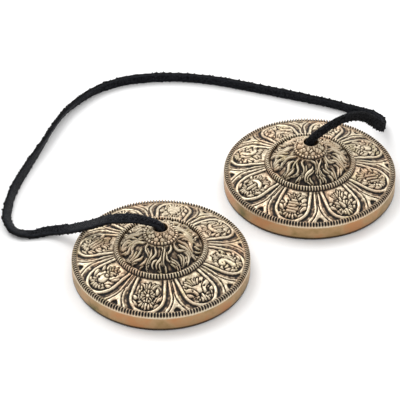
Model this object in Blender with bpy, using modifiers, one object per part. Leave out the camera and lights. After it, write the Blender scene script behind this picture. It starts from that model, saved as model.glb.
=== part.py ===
"""A pair of finger cymbals joined by one leather thong.

Metres, +Z up. The origin is on the surface that the pair stands on, midway between the holes of the
two cymbals, and +X runs from the front cymbal's hole to the rear cymbal's hole. Each cymbal lies
rim down. The thong comes up out of one hole, lies in a loop on the surface and goes down into the
other hole, and a knot under each hole keeps the cymbal on it.
"""

import math

import bmesh
import bpy
from mathutils import Matrix, Vector, geometry

MM = 0.001

# Driving dimensions
CYMBAL_RADIUS = 35.0 * MM
HOLE_SPACING = 80.4 * MM
HOLE_RADIUS = 2.75 * MM
EDGE_HEIGHT = 8.0 * MM  # top of the rounded outer edge
LAND_INNER_RADIUS = 31.2 * MM  # the flat ring that the cymbal stands on runs from here to the edge
BOSS_RADIUS = 16.2 * MM  # foot of the raised boss, inside the rope ring
BOSS_FOOT_HEIGHT = 12.0 * MM
BOSS_SHOULDER_RADIUS = 6.9 * MM
BOSS_SHOULDER_HEIGHT = 18.5 * MM
MOUTH_HEIGHT = 22.4 * MM  # lip of the hole
CEILING_HEIGHT = 16.6 * MM  # flat seat for the knot inside the boss
CORD_RADIUS = 1.5 * MM  # round cord with about the section of a 4 x 1.8 mm flat thong
CORD_POINTS = 80
KNOT_SIZE = (9.4 * MM, 8.4 * MM, 6.4 * MM)
TAIL_SIZE = (4.0 * MM, 1.8 * MM, 6.0 * MM)
TURN_STEPS = 48

KNOT_TOP = CEILING_HEIGHT - 0.4 * MM

# The thong's centreline, in millimetres, from just above the front knot to just above the rear knot.
CORD_ROUTE_MM = [
    (-40.3, -0.6, 16.5), (-40.3, -0.6, 20.8), (-40.6, -0.2, 22.9), (-41.9, 1.4, 24.4),
    (-44.0, 4.5, 25.0), (-46.5, 8.0, 25.2), (-50.5, 16.5, 22.0), (-52.0, 21.5, 18.4),
    (-53.2, 27.0, 14.0), (-55.1, 36.9, 6.7), (-56.4, 42.1, 3.6), (-59.4, 46.8, 1.9),
    (-64.9, 50.3, 1.5), (-69.0, 54.9, 1.5), (-68.6, 60.5, 1.5), (-65.7, 65.2, 1.5),
    (-55.1, 74.8, 1.5), (-43.4, 82.1, 1.5), (-25.8, 91.6, 1.7), (-14.9, 97.6, 1.9),
    (-4.4, 102.3, 1.8), (8.9, 105.1, 1.6), (19.8, 104.8, 1.5), (31.3, 100.8, 1.5),
    (45.3, 90.7, 1.5), (57.4, 76.4, 1.5), (81.5, 34.7, 1.5), (87.6, 21.5, 1.5),
    (90.7, 14.4, 1.5), (90.6, 8.9, 1.7), (87.9, 5.0, 2.8), (83.6, 2.6, 6.4),
    (73.2, 0.8, 17.4), (65.4, -0.4, 22.8), (57.0, -1.2, 26.0), (50.0, -1.4, 26.6),
    (44.6, -0.9, 25.4), (41.1, 0.0, 23.4), (39.8, 0.3, 20.8), (39.8, 0.3, 16.5),
]


def clear_scene():
    for obj in list(bpy.data.objects):
        bpy.data.objects.remove(obj)


def new_collection(name):
    collection = bpy.data.collections.new(name)
    bpy.context.scene.collection.children.link(collection)
    return collection


def principled(name, colour, roughness, metallic):
    material = bpy.data.materials.new(name)
    material.use_nodes = True
    shader = material.node_tree.nodes["Principled BSDF"]
    shader.inputs["Base Color"].default_value = (*colour, 1.0)
    shader.inputs["Roughness"].default_value = roughness
    shader.inputs["Metallic"].default_value = metallic
    return material


def arc(centre, radii, start, end, steps):
    """Points (r, z) along part of an ellipse, from the start angle to the end angle in degrees."""
    angles = [math.radians(start + (end - start) * i / steps) for i in range(steps + 1)]
    return [
        (centre[0] + radii[0] * math.cos(a), centre[1] + radii[1] * math.sin(a)) for a in angles
    ]


def bow(start, end, rise, steps):
    """Points (r, z) strictly between two ends of a shallow arch that stands proud by rise."""
    (r0, z0), (r1, z1) = start, end
    span = math.hypot(r1 - r0, z1 - z0)
    normal = ((z0 - z1) / span, (r1 - r0) / span)
    points = []
    for i in range(1, steps):
        t = i / steps
        lift = rise * 4.0 * t * (1.0 - t)
        points.append((r0 + (r1 - r0) * t + normal[0] * lift, z0 + (z1 - z0) * t + normal[1] * lift))
    return points


def cymbal_profile():
    """The closed half section (r, z): down the outside from the hole's lip, then up the inside."""
    ring_width = 1.9 * MM
    ring_centre = BOSS_RADIUS + ring_width / 2
    flange_top = (BOSS_RADIUS + ring_width + 0.3 * MM, 11.3 * MM)
    edge_inner = (CYMBAL_RADIUS - 1.9 * MM, EDGE_HEIGHT - 0.4 * MM)
    shoulder = (BOSS_SHOULDER_RADIUS, BOSS_SHOULDER_HEIGHT)
    foot = (BOSS_RADIUS, BOSS_FOOT_HEIGHT)
    outside = arc((HOLE_RADIUS + 0.5 * MM, MOUTH_HEIGHT - 0.5 * MM), (0.5 * MM, 0.5 * MM), 180, 60, 2)
    outside += arc((6.0 * MM, 19.3 * MM), (0.7 * MM, 0.7 * MM), 140, -20, 3)  # small bead ring
    outside += [shoulder, *bow(shoulder, foot, 0.5 * MM, 4), foot]
    outside += arc((ring_centre, BOSS_FOOT_HEIGHT), (ring_width / 2, 1.2 * MM), 170, 10, 4)
    outside += [flange_top, *bow(flange_top, edge_inner, 0.35 * MM, 3), edge_inner]
    outside += arc((CYMBAL_RADIUS - 1.1 * MM, EDGE_HEIGHT - 1.1 * MM), (1.1 * MM, 1.1 * MM), 115, 0, 3)
    outside += arc((CYMBAL_RADIUS - 0.5 * MM, 0.5 * MM), (0.5 * MM, 0.5 * MM), 0, -90, 2)

    land = (LAND_INNER_RADIUS, 0.0)
    bowl_top = (17.5 * MM, 5.2 * MM)
    dome_foot = (15.4 * MM, 6.9 * MM)
    seat_edge = (5.6 * MM, CEILING_HEIGHT)
    inside = [land, *bow(land, bowl_top, -0.5 * MM, 4), bowl_top]
    inside += [dome_foot, *bow(dome_foot, seat_edge, -0.6 * MM, 4), seat_edge]
    inside += [(HOLE_RADIUS, CEILING_HEIGHT)]
    return outside + inside


def add_cymbal(name, hole_x, material, collection):
    """A solid of revolution about the hole's axis."""
    profile = cymbal_profile()
    mesh = bpy.data.meshes.new(name)
    bm = bmesh.new()
    corners = [bm.verts.new((r, 0.0, z)) for r, z in profile]
    for first, second in zip(corners, corners[1:] + corners[:1]):
        bm.edges.new((first, second))
    bm.to_mesh(mesh)
    bm.free()
    cymbal = bpy.data.objects.new(name, mesh)
    collection.objects.link(cymbal)
    cymbal.location = (hole_x, 0.0, 0.0)
    screw = cymbal.modifiers.new("Turn", "SCREW")
    screw.axis = "Z"
    screw.angle = math.tau
    screw.steps = screw.render_steps = TURN_STEPS
    screw.use_merge_vertices = True
    screw.merge_threshold = 1e-5
    screw.use_smooth_shade = True
    mesh.materials.append(material)
    return cymbal


def smooth_route(points, count):
    """Evenly spaced points on a smooth curve through the given ones."""
    fine = []
    padded = [points[0] * 2 - points[1], *points, points[-1] * 2 - points[-2]]
    for before, start, end, after in zip(padded, padded[1:], padded[2:], padded[3:]):
        chord = (end - start).length
        lead = (end - before).normalized() * chord / 3
        trail = (after - start).normalized() * chord / 3
        fine += geometry.interpolate_bezier(start, start + lead, end - trail, end, 24)[:-1]
    fine.append(points[-1])
    walked = [0.0]
    for start, end in zip(fine, fine[1:]):
        walked.append(walked[-1] + (end - start).length)
    even = []
    at = 0
    for i in range(count):
        target = walked[-1] * i / (count - 1)
        while at < len(fine) - 2 and walked[at + 1] < target:
            at += 1
        share = (target - walked[at]) / (walked[at + 1] - walked[at])
        even.append(fine[at].lerp(fine[at + 1], min(share, 1.0)))
    return even


def add_cord(name, material, collection):
    route = [Vector(point) * MM for point in CORD_ROUTE_MM]
    curve = bpy.data.curves.new(name, "CURVE")
    curve.dimensions = "3D"
    curve.bevel_depth = CORD_RADIUS
    curve.bevel_resolution = 2
    curve.use_fill_caps = True
    spline = curve.splines.new("POLY")
    path = smooth_route(route, CORD_POINTS)
    spline.points.add(len(path) - 1)
    for point, place in zip(spline.points, path):
        point.co = (*place, 1.0)
    curve.materials.append(material)
    cord = bpy.data.objects.new(name, curve)
    collection.objects.link(cord)
    return cord


def add_knot(name, hole_x, turn, material, collection, helpers):
    """A rounded knot that is too wide for the hole, with one cut end of the thong hanging from it."""
    bm = bmesh.new()
    bmesh.ops.create_uvsphere(bm, u_segments=20, v_segments=12, radius=0.5)
    bmesh.ops.scale(bm, vec=KNOT_SIZE, verts=bm.verts)
    mesh = bpy.data.meshes.new(name)
    bm.to_mesh(mesh)
    bm.free()
    knot = bpy.data.objects.new(name, mesh)
    knot.location = (hole_x, 0.0, KNOT_TOP - KNOT_SIZE[2] / 2)
    knot.rotation_euler = (0.0, 0.0, turn)
    collection.objects.link(knot)

    bm = bmesh.new()
    bmesh.ops.create_cube(bm, size=1.0)
    bmesh.ops.scale(bm, vec=TAIL_SIZE, verts=bm.verts)
    bmesh.ops.transform(bm, matrix=Matrix.Rotation(math.radians(14.0), 4, "X"), verts=bm.verts)
    bmesh.ops.translate(bm, vec=(0.8 * MM, 1.6 * MM, -4.4 * MM), verts=bm.verts)
    tail_mesh = bpy.data.meshes.new(name + "_tail")
    bm.to_mesh(tail_mesh)
    bm.free()
    tail = bpy.data.objects.new(name + "_tail", tail_mesh)
    tail.parent = knot
    tail.hide_render = True
    tail.display_type = "WIRE"
    helpers.objects.link(tail)

    join = knot.modifiers.new("Tail", "BOOLEAN")
    join.operation = "UNION"
    join.object = tail
    mesh.materials.append(material)
    mesh.shade_smooth()
    return knot


def main():
    clear_scene()
    parts = new_collection("finger_cymbals")
    helpers = new_collection("helpers")
    bronze = principled("bronze", (0.60, 0.46, 0.27), 0.38, 1.0)
    leather = principled("leather", (0.018, 0.018, 0.02), 0.7, 0.0)
    for place, side in (("front", -1.0), ("rear", 1.0)):
        hole_x = side * HOLE_SPACING / 2
        add_cymbal(place + "_cymbal", hole_x, bronze, parts)
        add_knot(place + "_knot", hole_x, math.radians(35.0 * side), leather, parts, helpers)
    add_cord("leather_cord", leather, parts)


main()
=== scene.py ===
"""Looks of the finger cymbals: two chased bronze cymbals on one flat black leather thong.

Shapes are worked out in millimetres. The camera, the lights and the materials' noises work in metres.
"""

import math

import bpy
import numpy as np
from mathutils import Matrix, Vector, geometry


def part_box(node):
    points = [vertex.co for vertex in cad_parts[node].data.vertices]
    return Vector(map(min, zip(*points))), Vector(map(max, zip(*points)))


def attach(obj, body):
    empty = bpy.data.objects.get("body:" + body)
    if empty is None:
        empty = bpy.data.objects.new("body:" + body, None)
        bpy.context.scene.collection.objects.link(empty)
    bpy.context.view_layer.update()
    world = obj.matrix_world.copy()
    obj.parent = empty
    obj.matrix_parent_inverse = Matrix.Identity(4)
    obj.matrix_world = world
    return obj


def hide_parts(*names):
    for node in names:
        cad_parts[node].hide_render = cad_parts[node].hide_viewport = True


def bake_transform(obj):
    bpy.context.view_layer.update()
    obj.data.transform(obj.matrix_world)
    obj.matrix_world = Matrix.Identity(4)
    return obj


MM = 0.001
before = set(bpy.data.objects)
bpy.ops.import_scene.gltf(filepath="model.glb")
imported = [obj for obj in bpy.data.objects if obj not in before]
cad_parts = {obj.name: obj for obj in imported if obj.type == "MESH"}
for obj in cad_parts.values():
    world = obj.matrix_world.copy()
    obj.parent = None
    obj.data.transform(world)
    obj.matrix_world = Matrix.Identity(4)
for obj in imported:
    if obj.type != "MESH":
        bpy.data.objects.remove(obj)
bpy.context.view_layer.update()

# Sizes in millimetres, as in the CAD
CYMBAL_RADIUS = 35.0
HOLE_RADIUS = 2.75
MOUTH_HEIGHT = 22.4
CEILING_HEIGHT = 16.6
BOSS_FOOT = (16.2, 12.0)
BOSS_SHOULDER = (6.9, 18.5)
LAND_INNER_RADIUS = 31.2
KNOT_HEIGHT = 6.4
STRAP_WIDTH = 4.0
STRAP_THICKNESS = 1.8
FLOOR_ROUTE_Z = 1.5  # height of the route where the thong lies on the floor

# The thong's mesh, in millimetres
STRAP_CORNER = 0.45
STRAP_STEP = 0.4
STRAP_POINTS = 28  # round its section
ROLLED_LENGTH = 26.0  # from a hole to where the strip lies quite flat
KNOT_TURN = {"front": 2.2, "rear": 0.6}  # radians

# The chasing, in millimetres
PETALS = 8
PETAL_ANGLE = {"front": -7.3, "rear": -13.8}  # degrees from +X to the middle of one petal
PETAL_CENTRE = 26.0  # radius at the middle of an ornament
# A petal's floor and frame: place and radius of the circle at the foot, then of the one at the head
PETAL_FLOOR = (19.0, 4.6, 26.6, 5.75)
PETAL_FRAME = (19.0, 6.72, 27.0, 9.78)
ORNAMENT_SCALE = 1.18
CHASING_SEED = {"front": 11, "rear": 23}
EDGE_NOTCHES = 184
ROPE_TURNS = 98
BEADS = 30
CROWN_RADIUS = 4.4  # half way up the crown that stands round the mouth
CROWN_SLOPE = 3.2

# Points round the rings of a cymbal
FINE = 1104
CHASED = 720
MIDDLE = 480
COARSE = 240

# The thong's centreline, from just above the front knot to just above the rear knot, as in the CAD
CORD_ROUTE_MM = [
    (-40.3, -0.6, 16.5), (-40.3, -0.6, 20.8), (-40.6, -0.2, 22.9), (-41.9, 1.4, 24.4),
    (-44.0, 4.5, 25.0), (-46.5, 8.0, 25.2), (-50.5, 16.5, 22.0), (-52.0, 21.5, 18.4),
    (-53.2, 27.0, 14.0), (-55.1, 36.9, 6.7), (-56.4, 42.1, 3.6), (-59.4, 46.8, 1.9),
    (-64.9, 50.3, 1.5), (-69.0, 54.9, 1.5), (-68.6, 60.5, 1.5), (-65.7, 65.2, 1.5),
    (-55.1, 74.8, 1.5), (-43.4, 82.1, 1.5), (-25.8, 91.6, 1.7), (-14.9, 97.6, 1.9),
    (-4.4, 102.3, 1.8), (8.9, 105.1, 1.6), (19.8, 104.8, 1.5), (31.3, 100.8, 1.5),
    (45.3, 90.7, 1.5), (57.4, 76.4, 1.5), (81.5, 34.7, 1.5), (87.6, 21.5, 1.5),
    (90.7, 14.4, 1.5), (90.6, 8.9, 1.7), (87.9, 5.0, 2.8), (83.6, 2.6, 6.4),
    (73.2, 0.8, 17.4), (65.4, -0.4, 22.8), (57.0, -1.2, 26.0), (50.0, -1.4, 26.6),
    (44.6, -0.9, 25.4), (41.1, 0.0, 23.4), (39.8, 0.3, 20.8), (39.8, 0.3, 16.5),
]
# How far the thong leans over: (mm along it, degrees; -90 stands it on edge, grain side to the inside)
CORD_LEAN = [
    (0, 0), (5, 0), (14, 24), (58, 26), (66, 10), (75, -8), (84, -42), (94, -62), (106, -70), (124, -80),
    (136, -101), (150, -113), (161, -113), (175, -103), (190, -91), (262, -88), (276, -100), (290, -99),
    (302, -90), (318, -80), (332, -62), (345, -76), (382, -86),
]


# ---------------------------------------------------------------- helpers


def smoothstep(low, high, x):
    t = np.clip((x - low) / (high - low), 0.0, 1.0)
    return t * t * (3.0 - 2.0 * t)


def hash_noise(x, y, seed):
    """Smooth value noise from -1 to 1 with a period of one unit."""
    x0, y0 = np.floor(x), np.floor(y)
    fx, fy = x - x0, y - y0
    fx, fy = fx * fx * (3 - 2 * fx), fy * fy * (3 - 2 * fy)

    def corner(i, j):
        v = np.sin((x0 + i) * 127.1 + (y0 + j) * 311.7 + seed * 74.7) * 43758.5453
        return (v - np.floor(v)) * 2.0 - 1.0

    low = corner(0, 0) * (1 - fx) + corner(1, 0) * fx
    high = corner(0, 1) * (1 - fx) + corner(1, 1) * fx
    return low * (1 - fy) + high * fy


def unit(vectors):
    return vectors / np.maximum(np.linalg.norm(vectors, axis=-1, keepdims=True), 1e-12)


def mesh_object(name, points, faces, materials, face_material=None):
    """A smooth-shaded mesh object from points in metres; face_material is each face's material slot."""
    mesh = bpy.data.meshes.new(name)
    mesh.from_pydata(points.tolist(), [], faces)
    for material in materials:
        mesh.materials.append(material)
    if face_material is not None:
        mesh.polygons.foreach_set("material_index", np.asarray(face_material, np.int32))
    mesh.shade_smooth()
    mesh.update()
    made = bpy.data.objects.new(name, mesh)
    bpy.context.scene.collection.objects.link(made)
    return made


def ring_angles(count):
    """Evenly spaced angles once round, in radians."""
    return np.arange(count) / count * math.tau


def ring_faces(first, count, next_first, next_count):
    """Faces between two rings of points: quads where the counts match, else triangles."""
    if count == next_count:
        return [
            (first + i, first + (i + 1) % count, next_first + (i + 1) % count, next_first + i)
            for i in range(count)
        ]
    faces, i, j = [], 0, 0
    while i < count or j < next_count:
        here, there = first + i % count, next_first + j % next_count
        if j >= next_count or (i < count and (i + 0.5) / count < (j + 0.5) / next_count):
            i += 1
            faces.append((here, first + i % count, there))
        else:
            j += 1
            faces.append((here, next_first + j % next_count, there))
    return faces


def stroke_distance(px, py, path, radii):
    """Distance from each point to a tapering stroke's outline, negative inside it, and its radius there."""
    nearest = np.full(len(px), 1e9)
    radius = np.ones(len(px))
    for (ax, ay), (bx, by), ra, rb in zip(path, path[1:], radii, radii[1:]):
        dx, dy = bx - ax, by - ay
        t = np.clip(((px - ax) * dx + (py - ay) * dy) / max(dx * dx + dy * dy, 1e-9), 0, 1)
        width = ra + t * (rb - ra)
        away = np.hypot(px - ax - t * dx, py - ay - t * dy) - width
        closer = away < nearest
        nearest = np.where(closer, away, nearest)
        radius = np.where(closer, width, radius)
    return nearest, radius


def carve(height, x, y, strokes, low, high, groove, gap):
    """Lays round-topped strokes, each a path and its radii, over a surface, with a sunk line round each."""
    for path, *widths in strokes:
        path = np.asarray(path, float)
        reach = max(widths) + gap
        share = np.linspace(0.0, 1.0, len(path))
        radii = np.interp(share, np.linspace(0.0, 1.0, len(widths)), widths)
        near = np.nonzero(
            (x > path[:, 0].min() - reach) & (x < path[:, 0].max() + reach)
            & (y > path[:, 1].min() - reach) & (y < path[:, 1].max() + reach)
        )
        if not len(near[0]):
            continue
        away, radius = stroke_distance(x[near], y[near], path, radii)
        rounded = np.sqrt(np.clip(1.0 - (1.0 + away / radius) ** 2, 0.0, 1.0))
        old = height[near]
        height[near] = np.where(
            away < 0.0, low + (high - low) * rounded, np.where(away < gap, np.minimum(old, groove), old)
        )
    return height


def curl(start, heading, length, first_bend, last_bend, steps=14):
    """A path that leaves start at heading (degrees) and turns by first_bend to last_bend degrees a mm."""
    x, y = start
    angle = math.radians(heading)
    step = length / steps
    path = [(x, y)]
    for i in range(steps):
        share = (i + 0.5) / steps
        angle += math.radians(first_bend + (last_bend - first_bend) * share**2) * step
        x += math.cos(angle) * step
        y += math.sin(angle) * step
        path.append((x, y))
    return path


def circle_path(centre, radius, start=0.0, end=360.0, steps=20):
    """A path round a circle, or round a part of it, between two angles in degrees."""
    angles = np.radians(np.linspace(start, end, steps + 1))
    return [(centre[0] + radius * math.cos(a), centre[1] + radius * math.sin(a)) for a in angles]


def hole_x(place):
    """Where along X the axis of a cymbal stands."""
    low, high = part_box(place + "_cymbal")
    return (low.x + high.x) / 2 / MM


# ---------------------------------------------------------------- materials


def new_material(name):
    material = bpy.data.materials.new(name)
    material.use_nodes = True
    tree = material.node_tree
    return material, tree, tree.nodes["Principled BSDF"]


def add_node(tree, kind, **values):
    """A node with some of its inputs or settings given by name."""
    node = tree.nodes.new(kind)
    for key, value in values.items():
        if key in node.inputs:
            node.inputs[key].default_value = value
        else:
            setattr(node, key, value)
    return node


def ramp(tree, source, stops):
    """A colour ramp; a stop is (position, colour), and a colour of one number is a grey."""
    node = tree.nodes.new("ShaderNodeValToRGB")
    elements = node.color_ramp.elements
    while len(elements) < len(stops):
        elements.new(0.5)
    for element, (place, colour) in zip(elements, stops):
        element.position = place
        element.color = (*colour, 1.0) if len(colour) == 3 else (*colour * 3, 1.0)
    tree.links.new(source, node.inputs["Fac"])
    return node.outputs["Color"]


def noise(tree, scale, detail=4.0, roughness=0.6):
    place = add_node(tree, "ShaderNodeTexCoord")
    node = add_node(tree, "ShaderNodeTexNoise", Scale=scale, Detail=detail, Roughness=roughness)
    tree.links.new(place.outputs["Object"], node.inputs["Vector"])
    return node.outputs["Fac"]


def mix(tree, factor, first, second, blend="MIX"):
    """A colour mix; the factor is a socket, and each colour is a socket or three numbers."""
    node = tree.nodes.new("ShaderNodeMix")
    node.data_type = "RGBA"
    node.blend_type = blend
    for socket, value in (("Factor", factor), ("A", first), ("B", second)):
        target = [s for s in node.inputs if s.name == socket and s.enabled][0]
        if isinstance(value, bpy.types.NodeSocket):
            tree.links.new(value, target)
        else:
            target.default_value = (*value, 1.0)
    return [s for s in node.outputs if s.enabled][0]


def bump(tree, shader, height, strength, distance):
    node = add_node(tree, "ShaderNodeBump", Strength=strength, Distance=distance)
    tree.links.new(height, node.inputs["Height"])
    tree.links.new(node.outputs["Normal"], shader.inputs["Normal"])


def chased_bronze():
    """Dark patina in the recesses, pale worn bronze on whatever stands proud."""
    material, tree, shader = new_material("chased_bronze")
    proud = add_node(tree, "ShaderNodeAttribute", attribute_name="proud")
    grain = noise(tree, 1200.0)
    patches = noise(tree, 90.0, 3.0)

    # Wear is the attribute less a quarter, plus half of a fine grain. The attribute also holds painted
    # shade round the rope ring's feet, on the notched edge's inner side and towards the boss's foot, so the
    # colour is darkened there too.
    level = add_node(tree, "ShaderNodeMath", operation="MULTIPLY_ADD")
    tree.links.new(grain, level.inputs[0])
    level.inputs[1].default_value = 0.50
    shift = add_node(tree, "ShaderNodeMath", operation="SUBTRACT")
    tree.links.new(proud.outputs["Fac"], shift.inputs[0])
    shift.inputs[1].default_value = 0.25
    tree.links.new(shift.outputs[0], level.inputs[2])
    worn = level.outputs[0]

    metal = ramp(tree, worn, [
        (0.12, (0.006, 0.005, 0.004)), (0.30, (0.040, 0.025, 0.016)),
        (0.46, (0.20, 0.142, 0.092)), (0.60, (0.38, 0.302, 0.212)), (0.90, (0.70, 0.605, 0.45)),
    ])
    rosy = ramp(tree, patches, [(0.46, (0.0,)), (0.72, (0.8,))])
    warm = mix(tree, rosy, metal, (0.88, 0.66, 0.56), "MULTIPLY")
    olive = ramp(tree, noise(tree, 140.0, 3.0), [(0.55, (0.0,)), (0.75, (0.5,))])
    tree.links.new(mix(tree, olive, warm, (0.84, 0.86, 0.58), "MULTIPLY"), shader.inputs["Base Color"])
    tree.links.new(ramp(tree, worn, [(0.2, (0.25,)), (0.6, (1.0,))]), shader.inputs["Metallic"])
    tree.links.new(ramp(tree, worn, [(0.15, (0.75,)), (0.8, (0.45,))]), shader.inputs["Roughness"])
    bump(tree, shader, grain, 0.35, 0.00025)
    return material


def turned_bronze():
    """Smooth golden-brown edge and underside with faint turning marks and tarnish."""
    material, tree, shader = new_material("turned_bronze")
    place = add_node(tree, "ShaderNodeTexCoord")
    stretch = add_node(tree, "ShaderNodeMapping")
    stretch.inputs["Scale"].default_value = (60.0, 60.0, 5200.0)
    tree.links.new(place.outputs["Object"], stretch.inputs["Vector"])
    marks = add_node(tree, "ShaderNodeTexNoise", Scale=1.0, Detail=4.0)
    tree.links.new(stretch.outputs["Vector"], marks.inputs["Vector"])
    tarnish = noise(tree, 70.0, 4.0)
    colour = ramp(tree, tarnish, [
        (0.35, (0.15, 0.130, 0.045)), (0.43, (0.33, 0.215, 0.095)), (0.52, (0.44, 0.280, 0.142)),
        (0.62, (0.47, 0.235, 0.105)),
    ])
    # Painted shade: where proud is low the colour goes towards near-black, a painted contact shadow along
    # the foot of the wall. The hole's wall and ceiling, with lower values, come out darker too.
    proud = add_node(tree, "ShaderNodeAttribute", attribute_name="proud")
    foot = ramp(tree, proud.outputs["Fac"], [(0.05, (1.0,)), (0.5, (0.0,))])
    tree.links.new(mix(tree, foot, colour, (0.03, 0.02, 0.012)), shader.inputs["Base Color"])
    shader.inputs["Metallic"].default_value = 0.85
    tree.links.new(
        ramp(tree, marks.outputs["Fac"], [(0.3, (0.34,)), (0.7, (0.52,))]), shader.inputs["Roughness"]
    )
    bump(tree, shader, marks.outputs["Fac"], 0.16, 0.0002)
    return material


def black_leather():
    """Smooth black grain side, duller and rougher on the cut edges and flesh side."""
    material, tree, shader = new_material("black_leather")
    grain_side = add_node(tree, "ShaderNodeAttribute", attribute_name="grain").outputs["Fac"]
    pores = noise(tree, 1400.0, 5.0, 0.7)
    smooth = ramp(tree, pores, [(0.40, (0.001, 0.001, 0.002)), (0.68, (0.012, 0.014, 0.020))])
    fuzzy = ramp(tree, pores, [(0.42, (0.001, 0.001, 0.001)), (0.66, (0.026, 0.026, 0.029))])
    # Painted highlight: a lighter blue-grey line where the grain side turns into the cut edges.
    corners = ramp(tree, grain_side, [(0.05, (0.0,)), (0.35, (0.9,)), (0.75, (0.5,)), (0.95, (0.0,))])
    colour = mix(tree, grain_side, fuzzy, smooth)
    tree.links.new(mix(tree, corners, colour, (0.022, 0.024, 0.030)), shader.inputs["Base Color"])
    dull = ramp(tree, pores, [(0.35, (0.24,)), (0.65, (0.60,))])
    tree.links.new(mix(tree, grain_side, (0.95, 0.95, 0.95), dull), shader.inputs["Roughness"])
    gleam = ramp(tree, pores, [(0.48, (0.05,)), (0.64, (0.30,))])
    shine = mix(tree, grain_side, (0.10, 0.10, 0.10), gleam)
    tree.links.new(shine, shader.inputs["Specular IOR Level"])
    bump(tree, shader, pores, 1.0, 0.0010)
    return material


# ---------------------------------------------------------------- camera, floor and light


def add_camera():
    """The photograph's view: about 39 degrees above the floor, from the front left.

    Returns the direction from the object back to the camera.
    """
    target = Vector((0.29, 22.42, 0.0)) * MM
    distance = 1.0082
    azimuth, elevation = math.radians(-41.77), math.radians(39.465)
    back = Vector((
        math.sin(azimuth) * math.cos(elevation),
        -math.cos(azimuth) * math.cos(elevation),
        math.sin(elevation),
    ))
    data = bpy.data.cameras.new("camera")
    data.sensor_width = 36.0
    data.lens = 223.28
    data.clip_start, data.clip_end = 0.05, 20.0
    camera = bpy.data.objects.new("camera", data)
    camera.location = target + back * distance
    camera.rotation_mode = "QUATERNION"
    camera.rotation_quaternion = (-back).to_track_quat("-Z", "Y")
    bpy.context.scene.collection.objects.link(camera)
    bpy.context.scene.camera = camera
    return back


def add_floor():
    """A pale plane a tenth of a millimetre under the object."""
    bpy.ops.mesh.primitive_plane_add(size=6.0, location=(0.0, 0.0, -0.0001))
    floor = bpy.context.object
    floor.name = "floor"
    material, _, shader = new_material("pale_floor")
    shader.inputs["Base Color"].default_value = (0.92, 0.92, 0.92, 1.0)
    shader.inputs["Roughness"].default_value = 0.9
    shader.inputs["Specular IOR Level"].default_value = 0.1
    floor.data.materials.append(material)


def add_light(name, place, size, power):
    """A round soft light that looks at the middle of the object."""
    target = Vector((0.0, 0.02, 0.0))
    data = bpy.data.lights.new(name, "AREA")
    data.shape = "DISK"
    data.size = size
    data.energy = power
    light = bpy.data.objects.new(name, data)
    light.location = place
    light.rotation_mode = "QUATERNION"
    light.rotation_quaternion = (target - Vector(place)).to_track_quat("-Z", "Y")
    bpy.context.scene.collection.objects.link(light)


def add_lights(away):
    """Two large soft lights from behind and above, the stronger on the left, in a white room."""
    side = Vector((away.y, -away.x, 0.0))
    add_light("key", away * 0.65 - side * 0.65 + Vector((0, 0, 1.1)), 1.0, 9.5)
    add_light("fill", away * 0.9 + side * 0.5 + Vector((0, 0, 0.9)), 0.8, 4.4)
    world = bpy.data.worlds.new("room")
    world.use_nodes = True
    background = world.node_tree.nodes["Background"]
    background.inputs["Color"].default_value = (1.0, 1.0, 1.0, 1.0)
    background.inputs["Strength"].default_value = 0.90
    bpy.context.scene.world = world
    bpy.context.scene.view_settings.view_transform = "Standard"


# ---------------------------------------------------------------- the thong


def smooth_route(points, spacing):
    """Evenly spaced points on a smooth curve through the given ones, and each one's share of its length."""
    fine = []
    padded = [points[0] * 2 - points[1], *points, points[-1] * 2 - points[-2]]
    for before, start, end, after in zip(padded, padded[1:], padded[2:], padded[3:]):
        chord = (end - start).length
        lead = (end - before).normalized() * chord / 3
        trail = (after - start).normalized() * chord / 3
        fine += geometry.interpolate_bezier(start, start + lead, end - trail, end, 24)[:-1]
    fine.append(points[-1])
    fine = np.array(fine)
    walked = np.concatenate([[0.0], np.cumsum(np.linalg.norm(np.diff(fine, axis=0), axis=1))])
    at = np.linspace(0.0, walked[-1], round(walked[-1] / spacing) + 1)
    return np.stack([np.interp(at, walked, fine[:, k]) for k in range(3)], axis=1), at / walked[-1]


def strap_frames(path, lean):
    """Outward normal of the grain side and sideways direction at each point of the thong."""
    tangent = unit(np.gradient(path, axis=0))
    up = np.array([0.0, 0.0, 1.0])
    normal = unit(up - tangent[:, 2:] * tangent)
    # Where the thong goes steeply into a hole, the normal is carried on from its nearest flatter point.
    steep = np.abs(tangent[:, 2]) > 0.96
    flat = np.nonzero(~steep)[0]
    for i in np.nonzero(steep)[0]:
        nearest = flat[np.abs(flat - i).argmin()]
        normal[i] = normal[nearest] - (normal[nearest] @ tangent[i]) * tangent[i]
    normal = unit(normal)
    # Eased along the thong, so that it never turns over suddenly
    kernel = np.hanning(17)
    kernel /= kernel.sum()
    padded = np.pad(normal, ((8, 8), (0, 0)), mode="edge")
    normal = np.stack([np.convolve(padded[:, k], kernel, "valid") for k in range(3)], axis=1)
    normal = unit(normal - (normal * tangent).sum(1, keepdims=True) * tangent)
    side = np.cross(tangent, normal)
    turn = np.radians(lean)[:, None]
    leaned = normal * np.cos(turn) + side * -np.sin(turn)
    return leaned, np.cross(tangent, leaned)


def strap_section(points):
    """Outline of the thong's section (across, up): a rectangle with rounded corners."""
    right, top = STRAP_WIDTH / 2 - STRAP_CORNER, STRAP_THICKNESS / 2 - STRAP_CORNER
    outline = []
    for cx, cy, start in ((right, top, 0), (-right, top, 90), (-right, -top, 180), (right, -top, 270)):
        for k in range(4):
            angle = math.radians(start + 30 * k)
            outline.append((cx + STRAP_CORNER * math.cos(angle), cy + STRAP_CORNER * math.sin(angle)))
    closed = np.array([*outline, outline[0]])
    walked = np.concatenate([[0.0], np.cumsum(np.linalg.norm(np.diff(closed, axis=0), axis=1))])
    at = np.arange(points) / points * walked[-1]
    return np.stack([np.interp(at, walked, closed[:, k]) for k in range(2)], axis=1)


def curled_section(points):
    """The same strip rolled in on itself, as it is where it goes into a hole."""
    half_width, half_height = 1.85, 1.62
    angle = ring_angles(points) + 0.18
    return np.stack([half_width * np.cos(angle), half_height * np.sin(angle)], axis=1)


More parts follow.
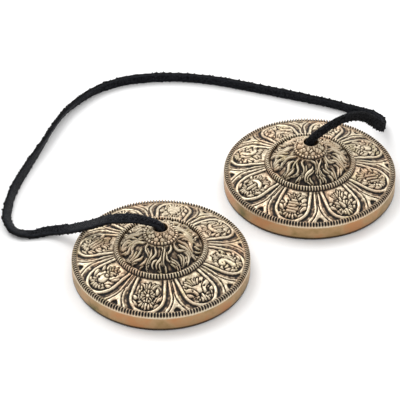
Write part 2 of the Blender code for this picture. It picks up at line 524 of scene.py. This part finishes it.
def sweep(path, across, up, sections):
    """Points and faces of a closed tube: sections[i] is the outline at path[i] in (across, up)."""
    count = sections.shape[1]
    rings = path[:, None] + across[:, None] * sections[..., :1] + up[:, None] * sections[..., 1:]
    faces = []
    for i in range(len(path) - 1):
        faces += ring_faces(i * count, count, (i + 1) * count, count)
    last = (len(path) - 1) * count
    faces.append(tuple(range(count - 1, -1, -1)))
    faces.append(tuple(range(last, last + count)))
    return rings.reshape(-1, 3), faces


def thong_path():
    """The thong's middle line, how far along it each point is, and how far it leans there in degrees."""
    path, share = smooth_route([Vector(point) for point in CORD_ROUTE_MM], STRAP_STEP)
    walked = share * len(path) * STRAP_STEP
    keys = np.array(CORD_LEAN, float)
    lean = np.interp(walked, keys[:, 0], keys[:, 1])
    kernel = np.hanning(31)
    lean = np.convolve(np.pad(lean, 15, mode="edge"), kernel / kernel.sum(), "valid")
    # On the floor the section's lowest corner touches it, whatever the lean.
    tilt = np.radians(lean)
    stands = STRAP_THICKNESS / 2 * np.abs(np.cos(tilt)) + STRAP_WIDTH / 2 * np.abs(np.sin(tilt))
    on_floor = np.clip((6.0 - path[:, 2]) / 4.0, 0.0, 1.0)
    path[:, 2] += (stands - FLOOR_ROUTE_Z) * on_floor
    path[:, 2] = np.maximum(path[:, 2], np.where(on_floor > 0.9, stands, 0.0))
    return path, walked, lean


def thong_sections(walked):
    """The thong's outline at each point of its path, and how much each point round it shows the grain."""
    flat, rolled = strap_section(STRAP_POINTS), curled_section(STRAP_POINTS)
    to_end = walked[-1] - walked
    curled = smoothstep(ROLLED_LENGTH, 9.0, walked) + smoothstep(ROLLED_LENGTH, 9.0, to_end)
    sections = flat[None] + (rolled - flat)[None] * curled[:, None, None]
    along, around = walked[:, None], np.arange(STRAP_POINTS)[None] / STRAP_POINTS
    sections[..., 0] *= 1.0 + 0.04 * hash_noise(along / 9.0, around * 0.0, 3)

    # Fuzz stands out from the cut edges, more from one than from the other, and from the flesh side.
    edge = smoothstep(1.3, 1.9, np.abs(flat[:, 0])) * np.where(flat[:, 0] > 0, 1.3, 0.6)
    flesh = smoothstep(0.3, -0.5, flat[:, 1])
    rough = 0.10 * hash_noise(along / 0.8, around * 28, 5)
    rough += 0.07 * hash_noise(along / 0.42, around * 28, 9)
    rough += 1.35 * np.clip(hash_noise(along / 0.45, around * 28, 12) - 0.5, 0, 1)
    rough *= (1.0 - 0.7 * curled[:, None]) * np.maximum(edge * 0.8, flesh)[None]
    rough += 0.05 * hash_noise(along / 3.0, around * 7, 2)
    sections += unit(flat)[None] * rough[..., None]
    return sections, smoothstep(0.55, 0.85, flat[:, 1]) * (1 - edge * 0.6)


def add_thong(material):
    """The strip from knot to knot, and its middle line in metres."""
    path, walked, lean = thong_path()
    up, across = strap_frames(path, lean)
    sections, grain = thong_sections(walked)
    points, faces = sweep(path, across, up, sections)
    points[:, 2] = np.maximum(points[:, 2], 0.0)
    thong = mesh_object("thong", points * MM, faces, [material])
    attribute = thong.data.attributes.new("grain", "FLOAT", "POINT")
    attribute.data.foreach_set("value", np.tile(grain, len(path)).astype(np.float32))
    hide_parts("leather_cord")
    return thong, path * MM


# ---------------------------------------------------------------- the knots


def knot_band():
    """Points and faces of a rounded band that runs round a trefoil: an overhand knot drawn up tight."""
    steps, round_count = 96, 16
    t = ring_angles(steps)
    line = np.stack([
        (np.sin(t) + 2 * np.sin(2 * t)) * 1.02,
        (np.cos(t) - 2 * np.cos(2 * t)) * 0.94,
        -np.sin(3 * t) * 1.5,
    ], axis=1)
    tangent = unit(np.roll(line, -1, axis=0) - np.roll(line, 1, axis=0))
    outward = unit(line - (line * tangent).sum(1, keepdims=True) * tangent)
    across = np.cross(tangent, outward)
    angles = ring_angles(round_count)
    section = np.stack([1.75 * np.cos(angles), 1.25 * np.sin(angles)], axis=1)
    rings = line[:, None] + across[:, None] * section[None, :, :1] + outward[:, None] * section[None, :, 1:]
    faces = []
    for i in range(steps):
        faces += ring_faces(i * round_count, round_count, (i + 1) % steps * round_count, round_count)
    return rings.reshape(-1, 3), faces


def cut_end():
    """Points and faces of the thong's end that hangs out of a knot."""
    bends = np.array([
        (0.2, 0.4, -1.0), (0.5, 0.9, -2.6), (0.9, 1.6, -4.2), (1.1, 2.3, -5.6), (1.2, 2.7, -7.0),
    ])
    at = np.linspace(0, len(bends) - 1, 22)
    path = np.stack([np.interp(at, range(len(bends)), bends[:, k]) for k in range(3)], axis=1)
    tangent = unit(np.gradient(path, axis=0))
    across = unit(np.cross(tangent, (0.0, 1.0, 0.3)))
    up = np.cross(across, tangent)
    return sweep(path, across, up, np.repeat(strap_section(20)[None], len(path), axis=0) * 0.96)


def add_knot(place, material):
    """A tied knot under the hole, made into one skin with the cut end of the thong that hangs out."""
    node = place + "_knot"
    points, faces = knot_band()
    end_points, end_faces = cut_end()
    faces += [tuple(i + len(points) for i in face) for face in end_faces]
    x, y, z = np.concatenate([points, end_points]).T
    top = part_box(node)[1].z / MM
    cosine, sine = math.cos(KNOT_TURN[place]), math.sin(KNOT_TURN[place])
    turned = np.stack([
        x * cosine - y * sine + hole_x(place),
        x * sine + y * cosine,
        z + top - KNOT_HEIGHT / 2,
    ], axis=1)
    knot = mesh_object(place + "_tied_knot", turned * MM, faces, [material])
    weld = knot.modifiers.new("one_skin", "REMESH")
    weld.mode = "VOXEL"
    weld.voxel_size = 0.22 * MM
    weld.use_smooth_shade = True
    soften = knot.modifiers.new("soften", "SMOOTH")
    soften.iterations = 3
    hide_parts(node)
    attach(knot, "cord_" + place)
    return knot


# ---------------------------------------------------------------- relief of the cymbals


def capsule_distance(u, v, foot, foot_radius, head, head_radius):
    """Signed distance to a rounded petal: a circle at v=foot blended straight into one at v=head."""
    span = head - foot
    v = v - foot
    u = np.abs(u)
    slope = (foot_radius - head_radius) / span
    cosine = math.sqrt(1.0 - slope * slope)
    along = -slope * u + cosine * v
    return np.where(
        along < 0.0,
        np.hypot(u, v) - foot_radius,
        np.where(
            along > cosine * span,
            np.hypot(u, v - span) - head_radius,
            u * cosine + v * slope - foot_radius,
        ),
    )


def ribbons(seed):
    """Curled ribbons and leaves that fill a petal round its ornament: +y is towards the boss."""
    pick = np.random.default_rng(seed)
    strokes = []
    for hand in (-1, 1):
        for y, reach in ((-3.8, 4.2), (-1.2, 5.1), (1.8, 4.9)):
            heading = 90 - hand * pick.uniform(0, 60)
            start = (hand * (reach - pick.uniform(0.9, 1.6)), y - 1.0)
            bend = hand * pick.uniform(50, 130) * (1 if pick.random() < 0.7 else -0.6)
            strokes.append((
                curl(start, heading, pick.uniform(2.6, 4.2), -0.3 * bend, bend, 10),
                0.3, pick.uniform(0.6, 0.9), 0.2,
            ))
    fan = int(pick.integers(5, 8))
    for k in range(fan):
        x = (k - (fan - 1) / 2) * 3.4 / (fan - 1)
        start = (x * 0.7 + pick.uniform(-0.15, 0.15), 2.4)
        strokes.append((curl(start, 90 - 14 * x, pick.uniform(2.4, 4.2), 0, -30 * x, 9), 0.3, 0.55, 0.16))
    for angle in (-168, -12, -140, -40, -114, -66, -90):
        strokes.append((curl((0.0, -2.4), angle, pick.uniform(2.6, 3.4), 0, 0, 4), 0.3, 0.62, 0.45))
    return strokes


def punched(seed):
    """Short deep cuts between the leaves of a petal's filling."""
    pick = np.random.default_rng(seed + 500)
    cuts = []
    for angle in (-154, -127, -102, -78, -53, -26):
        c, s = math.cos(math.radians(angle)), math.sin(math.radians(angle))
        near, far = pick.uniform(2.3, 2.8), pick.uniform(3.0, 3.6)
        cuts.append(([(near * c, near * s - 2.4), (far * c, far * s - 2.4)], 0.16, 0.30))
    for hand in (-1, 1):
        for y in (-1.8, 0.4, 2.6):
            start = (hand * pick.uniform(2.2, 4.0), y + pick.uniform(-0.6, 0.6))
            cuts.append((curl(start, pick.uniform(0, 360), pick.uniform(0.4, 1.1), 0, 40, 4), 0.34, 0.2))
    return cuts


def good_luck_signs():
    """Traditional signs, simplified, about 5 mm high, each a list of strokes: +y is towards the boss."""
    shell = [
        (curl((-0.9, -2.4), 60, 8.6, 8, 125, 24), 1.15, 0.4),
        (curl((0.9, -2.2), 75, 3.2, -6, 70, 10), 0.6, 0.3),
    ]
    lily_petals = ((20, 2.6), (160, 2.6), (45, 3.2), (135, 3.2), (90, 3.6), (68, 2.2), (112, 2.2))
    lily = [(curl((0.0, -1.6), angle, length, 0, 0, 4), 0.62, 0.4) for angle, length in lily_petals]
    wheel = [(circle_path((0, 0), 2.1), 0.42, 0.42)]
    for angle in (0.0, 45.0, 90.0, 135.0):
        x, y = 2.1 * math.cos(math.radians(angle)), 2.1 * math.sin(math.radians(angle))
        wheel.append(([(-x, -y), (x, y)], 0.26, 0.26))
    wheel.append((circle_path((0, 0), 0.3, steps=6), 0.4, 0.4))
    parasol = [
        ([(0, -2.6), (0, 2.8)], 0.4, 0.45),
        (circle_path((0, -0.4), 2.3, 12, 168, 14), 0.8, 0.8),
        *[([(x, 0.1), (x * 1.15, -1.5)], 0.32, 0.24) for x in (-2.2, -1.2, 1.2, 2.2)],
    ]
    woven_knot = []
    for angle in (45, -45):
        c, s = math.cos(math.radians(angle)), math.sin(math.radians(angle))
        for offset in (-1.3, 0.0, 1.3):
            start = (-s * offset - 2 * c, c * offset - 2 * s)
            end = (-s * offset + 2 * c, c * offset + 2 * s)
            woven_knot.append(([start, end], 0.36, 0.36))
    pair_of_fish = []
    for hand in (-1, 1):
        body = curl((1.7 * hand, -2.8), 90 + 22 * hand, 5.4, -20 * hand, -14 * hand, 14)
        tail = [(1.7 * hand, -2.6), (2.6 * hand, -3.2)]
        pair_of_fish += [(body, 0.4, 0.95), (tail, 0.4, 0.3)]
    banner = [([(0, -3.0), (0, 3.2)], 0.4, 0.4)]
    for y, half_width in ((-2.2, 1.5), (-1.1, 1.8), (0.0, 1.8), (1.1, 1.4), (2.1, 0.7)):
        banner.append(([(-half_width, y), (half_width, y)], 0.48, 0.48))
    vase = [
        ([(-1.0, -2.5), (1.0, -2.5)], 0.4, 0.4),
        ([(0, -0.9), (0, -0.2)], 1.7, 1.5),
        ([(0, 0.9), (0, 1.9)], 0.7, 0.6),
        ([(-1.2, 2.0), (1.2, 2.0)], 0.42, 0.42),
        *[(curl((0.0, 2.4), 90 - 28 * k, 1.7, 0, -20 * k, 6), 0.42, 0.3) for k in (-2, -1, 1, 2)],
    ]
    return [shell, lily, wheel, parasol, woven_knot, pair_of_fish, banner, vase]


def fill_petals(height, u, v, which, inside, seed):
    """Carves an ornament on its lily stand among ribbons into the floor of each petal."""
    signs = good_luck_signs()
    for petal in range(PETALS):
        chosen = (which == petal) & (inside > 0.2)
        strokes = ribbons(seed + petal)
        for path, *radii in signs[(petal * 3 + seed) % len(signs)]:
            wider = [radius * ORNAMENT_SCALE for radius in radii]
            strokes.append((np.asarray(path) * ORNAMENT_SCALE, *wider))
        x, y = u[chosen], PETAL_CENTRE - v[chosen]
        filled = carve(height[chosen], x, y, strokes, -0.30, 0.34, -0.86, 0.28)
        height[chosen] = carve(filled, x, y, punched(seed + petal), -0.95, -0.95, 1.0, 0.0)
    return height


def petal_relief(radius, angle, first_petal, seed):
    """Height over the turned flange, in mm, for grids of radius and angle."""
    pitch = math.tau / PETALS
    which = np.round((angle - first_petal) / pitch)
    local = angle - first_petal - which * pitch
    which = which.astype(int) % PETALS
    u, v = radius * np.sin(local), radius * np.cos(local)
    floor_edge = capsule_distance(u, v, *PETAL_FLOOR)
    frame_edge = capsule_distance(u, v, *PETAL_FRAME)

    # Round the floor runs a moulding, then a scoop that climbs to the frame's crisp edge.
    moulding = np.sqrt(np.clip(1.0 - ((floor_edge - 0.74) / 0.66) ** 2, 0.0, 1.0))
    climb = np.clip((floor_edge - 1.45) / np.maximum(floor_edge - frame_edge - 1.45, 0.4), 0.0, 1.0)
    worn = 0.56 + 0.16 * hash_noise(u * 0.8 + which * 5.0, v * 0.8, 8)
    height = np.where(floor_edge < 1.42, -0.50 + worn * moulding, -0.84 + 0.80 * climb**0.8)
    height = np.where(frame_edge > -0.28, np.minimum(height, -0.02), height)
    height -= 0.30 * np.exp(-(((frame_edge + 1.0) / 0.17) ** 2)) * (floor_edge > 1.5)

    # Past the frame a narrow rib divides the petals, and widens into a veined leaf at the edge.
    rib = np.sqrt(np.clip(1.0 - (1.0 - np.clip((frame_edge - 0.42) / 0.45, 0.0, 1.0)) ** 2, 0.0, 1.0))
    height = np.where(frame_edge > 0.0, -0.66 + 0.74 * rib, height)
    between = np.sign(local) * pitch / 2 - local
    leaf_u, leaf_v = radius * np.sin(between), radius * np.cos(between)
    height -= 0.20 * smoothstep(0.55, 1.3, frame_edge) * smoothstep(28.5, 30.0, radius)
    vein = np.exp(-((leaf_u / 0.17) ** 2)) * smoothstep(29.3, 30.2, leaf_v) * smoothstep(31.6, 31.0, leaf_v)
    height += 0.22 * vein
    pits = (
        (circle_path((0.0, 31.8), 0.1, steps=4), 0.70, 0.70),
        ([(-1.0, 32.4), (-0.7, 32.0)], 0.4, 0.36),
        ([(1.0, 32.4), (0.7, 32.0)], 0.4, 0.36),
    )
    for path, start_radius, end_radius in pits:
        radii = np.linspace(start_radius, end_radius, len(path))
        away, _ = stroke_distance(leaf_u.ravel(), leaf_v.ravel(), path, radii)
        height = np.where(away.reshape(height.shape) < 0.0, -0.9, height)

    inside = -floor_edge
    dish = -0.36 + 0.30 * smoothstep(0.3, 2.2, inside) - 0.30 * smoothstep(0.5, 0.15, inside)
    height = fill_petals(np.where(inside > 0.0, dish, height), u, v, which, inside, seed)
    fade = smoothstep(32.85, 32.45, radius) * smoothstep(18.55, 18.9, radius)
    uneven = 0.12 * hash_noise(u * 0.9 + which * 9.0, v * 0.9, 4)
    uneven += 0.08 * hash_noise(u * 2.6 + which * 7.0, v * 2.6, 6)
    return (height + uneven) * fade - 0.25 * (1 - fade)


def boss_strands(seed):
    """Flame-like strands that all follow one wavy flow down from the top of the boss, the topmost last."""
    pick = np.random.default_rng(seed)
    step = 0.35
    tiers = (  # radius where they start, how many, shortest, longest, greatest radius of a strand
        (13.4, 40, 2.4, 3.6, 0.46),
        (11.2, 36, 3.6, 5.6, 0.50),
        (9.0, 28, 4.6, 7.2, 0.54),
        (6.7, 22, 5.0, 8.0, 0.50),
    )
    strokes = []
    for ring_radius, count, shortest, longest, widest in tiers:
        for i in range(count):
            angle = math.tau * (i + ring_radius) / count + pick.uniform(-0.06, 0.06)
            start_radius = ring_radius + pick.uniform(-0.5, 0.7)
            x, y = start_radius * math.cos(angle), start_radius * math.sin(angle)
            path = [(x, y)]
            for _ in range(round(pick.uniform(shortest, longest) / step)):
                here, out = math.atan2(y, x), math.hypot(x, y)
                swing = 0.68 * math.sin(4 * here + 0.85 * out + seed)
                swing += 0.42 * math.sin(9 * here - 0.70 * out + 2 * seed)
                x += step * math.cos(here + swing)
                y += step * math.sin(here + swing)
                path.append((x, y))
            wide = widest * pick.uniform(0.75, 1.25)
            strokes.append((path, 0.35 * wide, wide, 0.85 * wide, 0.12))
    return strokes


def boss_relief(radius, angle, seed):
    """Height over the turned boss, in mm, for grids of radius and angle."""
    x, y = radius * np.cos(angle), radius * np.sin(angle)
    height = carve(np.full_like(radius, -0.66), x, y, boss_strands(seed), -0.44, 0.46, -0.92, 0.20)
    hair = 0.05 * hash_noise(angle * 60, radius * 1.2, 8) + 0.06 * hash_noise(x * 1.3, y * 1.3, 5)
    fade = smoothstep(16.1, 15.85, radius) * smoothstep(6.95, 7.3, radius)
    return (height + hair) * fade - 0.35 * (1 - fade)


def crown_relief(rows, angle, seed):
    """Tiers of small uneven lumps round the mouth, drawn on the crown unrolled."""
    pick = np.random.default_rng(seed)
    along = np.repeat(angle[None] * CROWN_RADIUS, rows, axis=0)
    up = np.repeat(np.linspace(0.0, CROWN_SLOPE, rows)[:, None], len(angle), axis=1)
    full_turn = math.tau * CROWN_RADIUS
    lumps = []
    for count, low, high, wide in ((9, 2.3, 2.7, 0.95), (10, 1.3, 1.7, 1.0), (11, 0.3, 0.7, 1.0)):
        for i in range(count):
            x = full_turn * (i + low) / count + pick.uniform(-0.3, 0.3)
            size = wide * pick.uniform(0.8, 1.1)
            slant = pick.uniform(-0.3, 0.3)
            for wrap in (-full_turn, 0.0, full_turn):
                lumps.append(([(x + wrap, low), (x + wrap + slant, high)], size, size * 0.8))
    return carve(np.full_like(along, -0.42), along, up, lumps, -0.34, 0.24, -0.60, 0.20)


def softened(height):
    """The same grid with its steps eased into its neighbours, so that edges across the rings stay neat."""
    sides = np.roll(height, 1, axis=1) + np.roll(height, -1, axis=1)
    padded = np.pad(height, ((1, 1), (0, 0)), mode="edge")
    return 0.52 * height + 0.12 * (sides + padded[:-2] + padded[2:])


def contrast(height, around, across):
    """How far each point stands above its surroundings, 0 in a pit and 1 on a crest."""
    mean = np.zeros_like(height)
    for shift in range(-around, around + 1):
        mean += np.roll(height, shift, axis=1)
    padded = np.pad(mean / (2 * around + 1), ((across, across), (0, 0)), mode="edge")
    mean = sum(padded[k : k + len(height)] for k in range(2 * across + 1)) / (2 * across + 1)
    # Mostly the height over the mean of what is near, and a little of the height itself
    return np.clip(0.58 + (height - mean) * 1.55 + (height + 0.2) * 0.34, 0.0, 1.0)


# ---------------------------------------------------------------- the cymbals, band by band


def outline_normals(profile):
    """Outward normals of a profile that runs inwards over the top (r falls, the outside is above)."""
    along = unit(np.gradient(profile, axis=0))
    return np.stack([along[:, 1], -along[:, 0]], axis=1)


def bowed(start, end, rise, count):
    """Points of a shallow arch from start to end, ends included, proud of the chord by rise."""
    t = np.linspace(0.0, 1.0, count)[:, None]
    start, end = np.array(start, float), np.array(end, float)
    chord = end - start
    normal = np.array([chord[1], -chord[0]]) / np.linalg.norm(chord)
    return start + chord * t + normal * rise * 4 * t * (1 - t)


def half_round(centre, radii, start, end, count):
    angles = np.radians(np.linspace(start, end, count))
    return np.stack([centre[0] + radii[0] * np.cos(angles), centre[1] + radii[1] * np.sin(angles)], axis=1)


def ring_grid(profile, count):
    """Radius and angle of every point of a band."""
    return (
        np.repeat(profile[:, :1], count, axis=1),
        np.repeat(ring_angles(count)[None], len(profile), axis=0),
    )


def plain(profile, count, proud=0.8):
    """A band without relief."""
    profile = np.array(profile, float)
    return profile, count, np.zeros((len(profile), count)), np.full((len(profile), count), proud)


def milled_edge(seed):
    """The notched band from the top of the wall over the rounded edge."""
    profile = np.array([
        (35.0, 6.3), (35.0, 6.65), (34.98, 7.0), (34.9, 7.4), (34.7, 7.7), (34.35, 7.95),
        (34.0, 8.05), (33.7, 8.05), (33.45, 7.95), (33.25, 7.8), (33.1, 7.62), (32.95, 7.5),
    ])
    strength = np.array([0, 0.1, 0.45, 0.9, 1, 1, 1, 1, 0.8, 0.5, 0.2, 0])[:, None]
    angle = ring_angles(FINE)
    notch = np.clip((np.cos(angle * EDGE_NOTCHES) + 0.58) / 0.4, 0.0, 1.0)
    wobble = 1.0 + 0.3 * hash_noise(angle * 40, angle * 0, seed)
    depth = -0.92 * notch * strength * wobble
    proud = np.clip(0.92 + depth * 3.0, 0.0, 1.0)
    # Painted shade: the last three rows, on the edge's inner side towards the petals, are darkened.
    proud[-3:] *= np.array([0.9, 0.75, 0.55])[:, None]
    return profile, FINE, depth, proud


def petal_flange(first_petal, seed):
    profile = bowed((32.8, 7.52), (18.7, 11.3), 0.35, 57)
    height = softened(petal_relief(*ring_grid(profile, CHASED), first_petal, seed))
    return profile, CHASED, height, contrast(height, 6, 6)


def rope_ring():
    """The ring round the boss, grooved aslant like a rope."""
    profile = half_round((17.35, 11.7), (1.05, 1.5), -12, 192, 10)
    strength = np.array([0.0, 0.9, 1.0, 1.0, 0.9, 0.5, 0.7, 0.9, 0.7, 0.0])[:, None]
    # Painted shade: a dark line along the ring's outer foot, and its inner side darkened down to the foot
    # by the boss.
    painted_shade = np.array([0.1, 0.8, 1.0, 1.0, 1.0, 1.0, 1.0, 0.8, 0.45, 0.2])[:, None]
    twist = np.linspace(0.0, 1.3, len(profile))[:, None]
    groove = np.clip((np.cos(ring_angles(CHASED) * ROPE_TURNS + twist) + 0.32) / 0.60, 0.0, 1.0)
    depth = -0.62 * groove * strength
    return profile, CHASED, depth, np.clip(0.92 + depth * 2.4, 0.0, 1.0) * painted_shade


def boss(seed):
    profile = bowed(BOSS_FOOT, BOSS_SHOULDER, 0.5, 46)
    height = softened(boss_relief(*ring_grid(profile, MIDDLE), seed))
    # Painted shade: the colour is darkened by a tenth at the boss's foot, fading out up to its shoulder.
    painted_foot_shade = np.linspace(0.90, 1.0, len(profile))[:, None]
    return profile, MIDDLE, height, np.clip(contrast(height, 5, 5) * 1.45 - 0.10, 0.0, 1.0) * painted_foot_shade


def bead_ring():
    profile = half_round((6.2, 19.0), (0.7, 0.8), -20, 170, 8)
    strength = np.sin(np.linspace(0.0, math.pi, len(profile)))[:, None]
    groove = np.clip((np.cos(ring_angles(COARSE) * BEADS) - 0.3) / 0.7, 0.0, 1.0)[None]
    depth = -0.55 * groove * strength
    return profile, COARSE, depth, np.clip(0.88 + depth * 1.9, 0, 1) * (0.15 + 0.85 * strength)


def crown(seed):
    profile = bowed((5.35, 19.6), (3.4, 22.15), 0.2, 13)
    depth = crown_relief(len(profile), ring_angles(COARSE), seed)
    return profile, COARSE, depth, np.clip(contrast(depth, 3, 2) * 1.4, 0.0, 1.0)


def cymbal_bands(first_petal, seed):
    """Bands of rings from the foot of the edge over the top and down the inside.

    Each is its profile (r, z), the points round it, and grids of its relief and of how far it stands proud;
    in some bands that last grid also holds painted shade.
    """
    radius, land, lip = CYMBAL_RADIUS, LAND_INNER_RADIUS, 0.45
    return [
        # Painted contact shadow: the two rows at the foot of the wall get proud 0 and 0.1, which the turned
        # bronze darkens towards near-black.
        plain([(radius - 0.6, 0.0), (radius - 0.22, 0.12)], MIDDLE, 0.0),
        plain([(radius - 0.05, 0.45), (radius, 1.0)], MIDDLE, 0.1),
        plain([(radius, 1.7), (radius, 3.6), (radius, 5.8)], MIDDLE),
        milled_edge(seed),
        petal_flange(first_petal, seed),
        rope_ring(),
        boss(seed),
        bead_ring(),
        crown(seed),
        plain(half_round((HOLE_RADIUS + lip, MOUTH_HEIGHT - lip), (lip, lip), 60, 180, 5), COARSE, 0.7),
        plain([(HOLE_RADIUS, 20.0), (HOLE_RADIUS, 18.0), (HOLE_RADIUS, CEILING_HEIGHT)], COARSE, 0.3),
        plain([(3.4, CEILING_HEIGHT), (4.6, CEILING_HEIGHT), (5.6, CEILING_HEIGHT)], COARSE, 0.4),
        plain(bowed((5.9, 16.4), (15.2, 7.1), -0.6, 7), COARSE, 0.5),
        plain([(15.6, 6.5), (16.4, 5.7), (17.5, 5.2)], COARSE, 0.6),
        plain(bowed((18.2, 5.0), (land - 0.3, 0.12), -0.45, 8), COARSE, 0.75),
        plain([(land, 0.0), (land + 1.6, 0.0)], COARSE),
    ]


def add_cymbal(place, materials):
    """One casting as a single closed skin of rings, each with as many points as its detail needs."""
    centre_x = hole_x(place)
    points, proud, rings = [], [], []
    total = 0
    # worn is a band's grid of how far it stands proud, with painted shade folded in where a band adds it.
    for profile, count, height, worn in cymbal_bands(math.radians(PETAL_ANGLE[place]), CHASING_SEED[place]):
        normal = outline_normals(profile)
        angle = ring_angles(count)
        for i in range(len(profile)):
            radius = profile[i, 0] + normal[i, 0] * height[i]
            z = profile[i, 1] + normal[i, 1] * height[i]
            points.append(np.stack([radius * np.cos(angle) + centre_x, radius * np.sin(angle), z], axis=1))
            proud.append(worn[i])
            rings.append((total, count))
            total += count
    faces = []
    for (first, count), (after, next_count) in zip(rings, rings[1:] + rings[:1]):
        faces += ring_faces(first, count, after, next_count)

    # Faces above the wall and outside the metal's middle line are chased. The rest are turned.
    points = np.concatenate(points)
    middles = np.array([points[list(face)].mean(0) for face in faces])
    off_axis = np.hypot(middles[:, 0] - centre_x, middles[:, 1])
    metal_middle = np.interp(off_axis, [5.6, 15.4, 17.5, 31.2], [17.6, 8.6, 6.4, 1.4])
    turned = (middles[:, 2] <= np.maximum(metal_middle, 6.1)) | (off_axis <= HOLE_RADIUS + 0.05)

    disc = mesh_object(place + "_chased_cymbal", points * MM, faces, materials, turned)
    attribute = disc.data.attributes.new("proud", "FLOAT", "POINT")
    attribute.data.foreach_set("value", np.concatenate(proud).astype(np.float32))
    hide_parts(place + "_cymbal")
    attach(disc, place + "_disc")


# ---------------------------------------------------------------- assembly

back = add_camera()
away = Vector((-back.x, -back.y, 0.0)).normalized()  # level, from the camera past the object
leather = black_leather()
bronze = [chased_bronze(), turned_bronze()]

knots = [add_knot(place, leather) for place in ("front", "rear")]
thong, thong_line = add_thong(leather)
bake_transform(thong)
for place in ("front", "rear"):
    add_cymbal(place, bronze)

add_floor()
add_lights(away)
